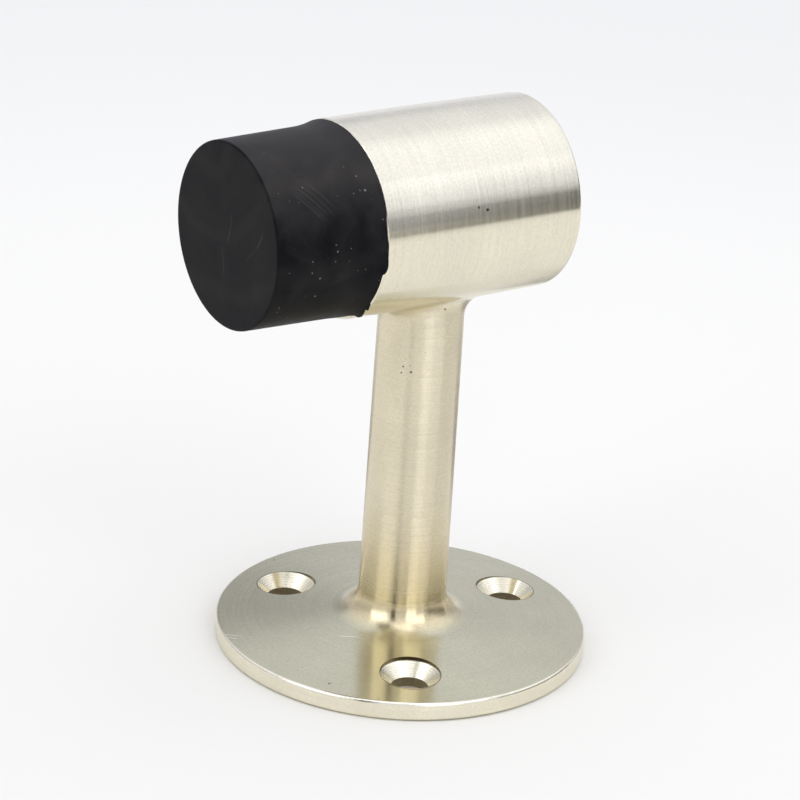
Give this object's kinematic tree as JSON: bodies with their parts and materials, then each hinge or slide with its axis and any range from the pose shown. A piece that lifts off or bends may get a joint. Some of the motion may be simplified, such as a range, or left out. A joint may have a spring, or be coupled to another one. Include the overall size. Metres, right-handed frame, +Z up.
{
  "type": "floor door holder",
  "caption": "Floor-mounted door stop: brushed satin nickel pedestal with a round screw-down flange, a post and a cross head holding a black rubber buffer.",
  "frame": {"origin": "centre of the flange's underside, on the post's axis, at floor level", "axes": "+Z up along the post, -Y along the head's axis towards the door, out of the rubber buffer"},
  "size_m": [0.05, 0.0554, 0.0746],
  "materials": {
    "satin_nickel": "cast brass, brushed and satin nickel plated",
    "black_rubber": "moulded, matt black",
    "zinc_plated_steel": "bright zinc plated",
    "spring_steel": "oiled, dull"
  },
  "bodies": {
    "pedestal": {"pedestal_casting": "satin_nickel"},
    "washer": {"lock_washer": "spring_steel"},
    "buffer": {"rubber_buffer": "black_rubber", "anchor_plate": "zinc_plated_steel", "buffer_stud": "zinc_plated_steel"}
  },
  "joints": [
    {"name": "buffer_advance", "type": "slide", "parent": "pedestal", "child": "washer", "axis": [0, -1, 0], "range_m": [0, 0.009]},
    {"name": "buffer_turn", "type": "hinge", "parent": "washer", "child": "buffer", "pos_m": [0, -0.015, 0.06175], "axis": [0, -1, 0], "range_deg": [0, 3240]}
  ],
  "couplings": [
    {"joint": "buffer_turn", "follows": "buffer_advance", "rad_per_m": 6283.2}
  ]
}
